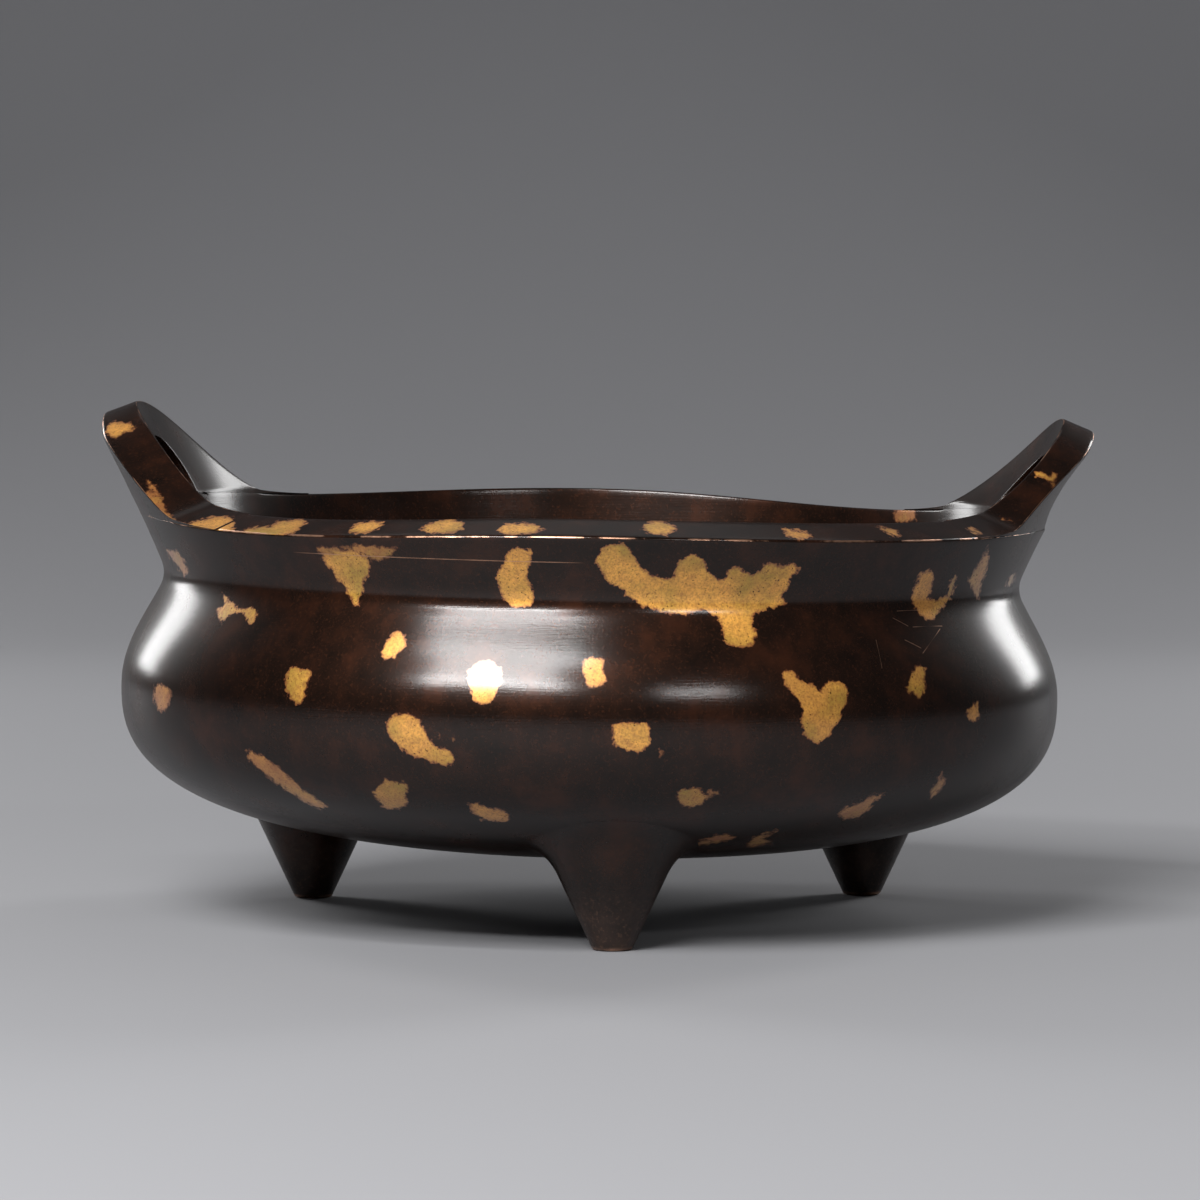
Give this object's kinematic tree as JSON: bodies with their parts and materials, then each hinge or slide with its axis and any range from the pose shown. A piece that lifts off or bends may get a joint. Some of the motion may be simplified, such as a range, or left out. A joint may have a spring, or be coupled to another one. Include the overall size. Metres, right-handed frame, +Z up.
{
  "type": "incense burner",
  "caption": "Low round bronze bowl with a flared lip, arched ears rising from it, conical feet and a sunken square panel underneath.",
  "frame": {"origin": "on the ground in the middle of the three feet", "axes": "+Z up, +X towards the right ear, -Y towards the front foot"},
  "size_m": [0.2078, 0.1964, 0.1079],
  "materials": {
    "bowl_bronze": "dark brown patinated cast bronze, polished, with fire-gilt splashes",
    "ear_bronze": "dark brown patinated cast bronze, polished, with fire-gilt splashes",
    "foot_bronze": "dark brown patinated cast bronze, worn satin, bare at the soles",
    "panel_bronze": "dark brown patinated cast bronze, matt sunken ground"
  },
  "bodies": {
    "root": {"bowl": "bowl_bronze", "ear_right": "ear_bronze", "ear_left": "ear_bronze", "foot_front": "foot_bronze", "foot_rear_right": "foot_bronze", "foot_rear_left": "foot_bronze", "base_mark_panel": "panel_bronze"}
  },
  "joints": []
}
